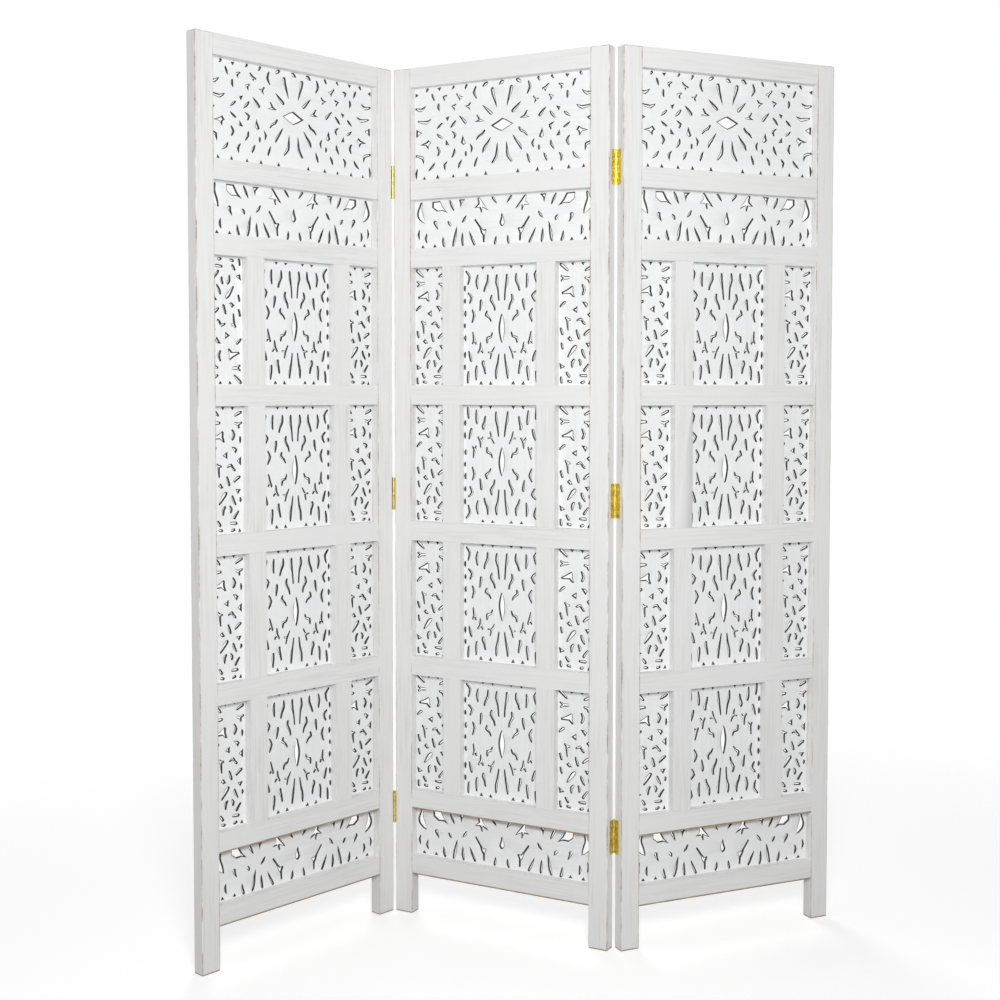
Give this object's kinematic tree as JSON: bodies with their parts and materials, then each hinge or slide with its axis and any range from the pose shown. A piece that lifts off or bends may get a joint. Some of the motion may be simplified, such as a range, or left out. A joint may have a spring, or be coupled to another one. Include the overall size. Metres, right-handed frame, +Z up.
{
  "type": "folding screen",
  "caption": "Free-standing folding room divider: hinged whitewashed wooden leaves, each a grooved frame of stiles, rails and mullions that holds thin pierced jali boards above short legs.",
  "frame": {"origin": "on the floor under the middle of the screen's bounding box as it stands half folded", "axes": "+Z up; the fronts of the leaves face -Y, and the screen runs along X from the left leaf to the right leaf"},
  "size_m": [1.3098, 0.396, 1.829],
  "materials": {
    "frame_wood": "whitewashed, matt, worn at the edges",
    "board_wood": "whitewashed, matt, with pierced cuts",
    "brass": "lacquered, satin"
  },
  "bodies": {
    "middle_leaf": {"left_hinge_pins": "brass", "left_hinge_plates_on_middle_leaf": "brass", "middle_leaf_bottom_rail": "frame_wood", "middle_leaf_centre_panes": "board_wood", "middle_leaf_cross_rail_1": "frame_wood", "middle_leaf_cross_rail_2": "frame_wood", "middle_leaf_cross_rail_3": "frame_wood", "middle_leaf_cross_rail_4": "frame_wood", "middle_leaf_cross_rail_5": "frame_wood", "middle_leaf_cross_rail_6": "frame_wood", "middle_leaf_frieze_panes": "board_wood", "middle_leaf_left_stile": "frame_wood", "middle_leaf_mullions": "frame_wood", "middle_leaf_right_stile": "frame_wood", "middle_leaf_side_panes": "board_wood", "middle_leaf_top_pane": "board_wood", "middle_leaf_top_rail": "frame_wood", "right_hinge_plates_on_middle_leaf": "brass"},
    "left_leaf": {"left_hinge_plates_on_left_leaf": "brass", "left_leaf_bottom_rail": "frame_wood", "left_leaf_centre_panes": "board_wood", "left_leaf_cross_rail_1": "frame_wood", "left_leaf_cross_rail_2": "frame_wood", "left_leaf_cross_rail_3": "frame_wood", "left_leaf_cross_rail_4": "frame_wood", "left_leaf_cross_rail_5": "frame_wood", "left_leaf_cross_rail_6": "frame_wood", "left_leaf_frieze_panes": "board_wood", "left_leaf_left_stile": "frame_wood", "left_leaf_mullions": "frame_wood", "left_leaf_right_stile": "frame_wood", "left_leaf_side_panes": "board_wood", "left_leaf_top_pane": "board_wood", "left_leaf_top_rail": "frame_wood"},
    "right_leaf": {"right_hinge_pins": "brass", "right_hinge_plates_on_right_leaf": "brass", "right_leaf_bottom_rail": "frame_wood", "right_leaf_centre_panes": "board_wood", "right_leaf_cross_rail_1": "frame_wood", "right_leaf_cross_rail_2": "frame_wood", "right_leaf_cross_rail_3": "frame_wood", "right_leaf_cross_rail_4": "frame_wood", "right_leaf_cross_rail_5": "frame_wood", "right_leaf_cross_rail_6": "frame_wood", "right_leaf_frieze_panes": "board_wood", "right_leaf_left_stile": "frame_wood", "right_leaf_mullions": "frame_wood", "right_leaf_right_stile": "frame_wood", "right_leaf_side_panes": "board_wood", "right_leaf_top_pane": "board_wood", "right_leaf_top_rail": "frame_wood"}
  },
  "joints": [
    {"name": "left_hinge", "type": "hinge", "parent": "middle_leaf", "child": "left_leaf", "pos_m": [-0.28606, 0.17271, 0], "axis": [0, 0, 1], "range_deg": [-75.5, 104.5]},
    {"name": "right_hinge", "type": "hinge", "parent": "middle_leaf", "child": "right_leaf", "pos_m": [0.17771, -0.04279, 0], "axis": [0, 0, 1], "range_deg": [-52.5, 127.5]}
  ]
}
